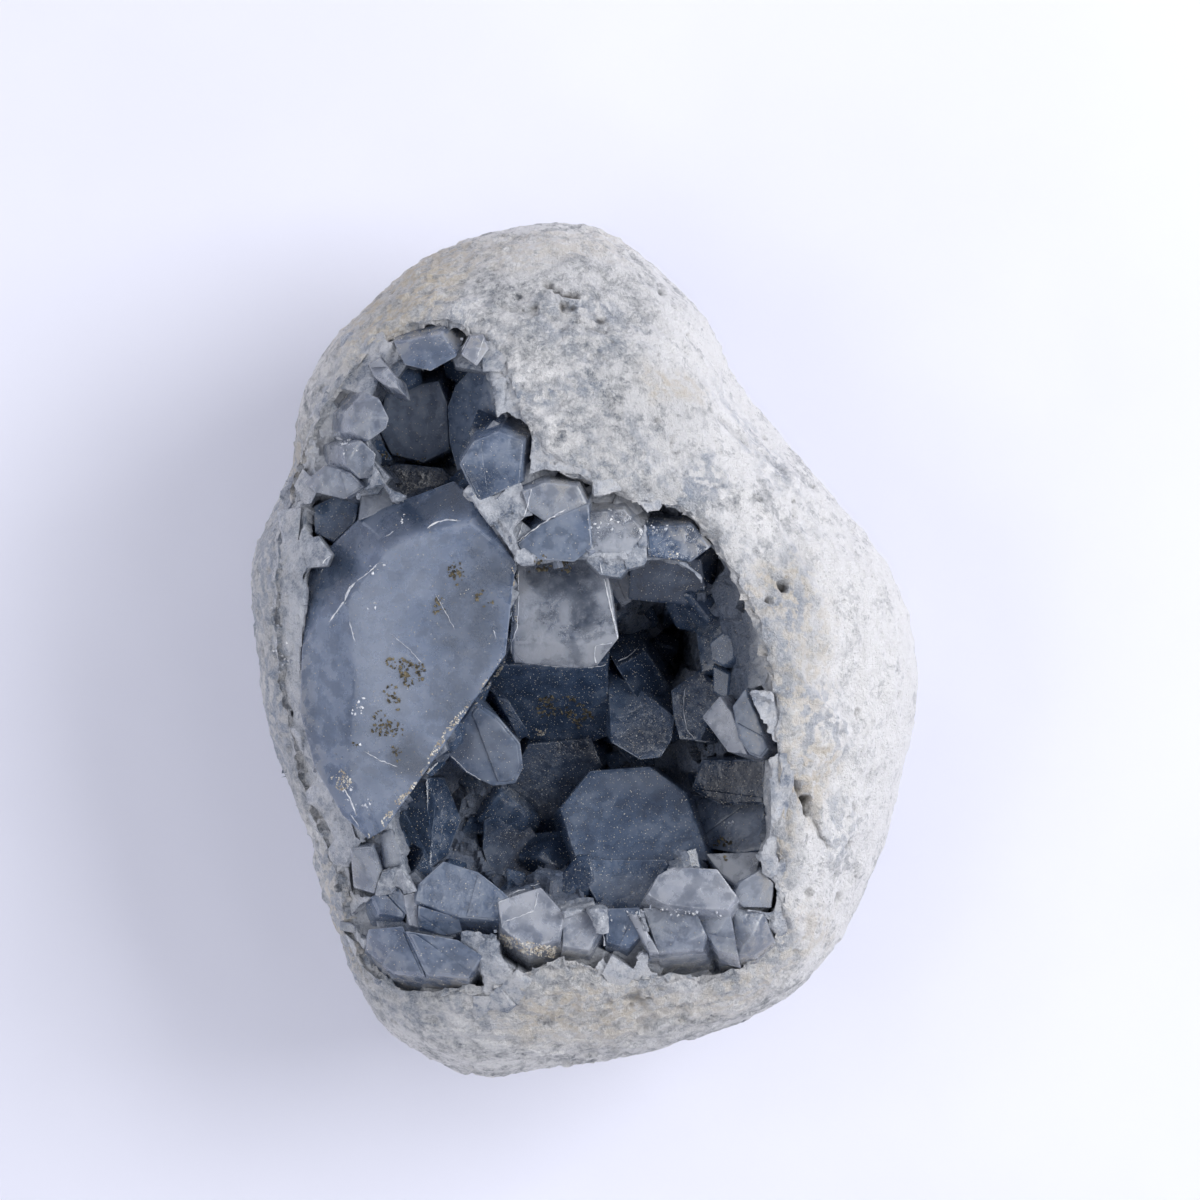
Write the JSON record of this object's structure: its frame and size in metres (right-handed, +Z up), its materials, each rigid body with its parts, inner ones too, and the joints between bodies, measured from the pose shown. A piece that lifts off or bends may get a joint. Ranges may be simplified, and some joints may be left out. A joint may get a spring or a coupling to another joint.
{
  "type": "celestite geode",
  "caption": "Rounded pale stone geode lying on a small flat spot, its upward mouth lined by one crust of blue-grey blocky crystals round an open hollow.",
  "frame": {"origin": "middle of the bounding box in plan, on the surface that the geode rests on", "axes": "+Z up out of the mouth; +Y along the geode's length, towards its narrow end; +X across it, towards the thick side of the rind"},
  "size_m": [0.0996, 0.128, 0.0718],
  "materials": {
    "rind": "rough chalky white and grey stone with blue-grey translucent patches, worn smooth outside",
    "crystal": "blue-grey translucent crystal, glossy flat faces with cloudy veils and fine brown dust"
  },
  "bodies": {
    "root": {"rind": "rind", "crystal_crust": "crystal"}
  },
  "joints": []
}
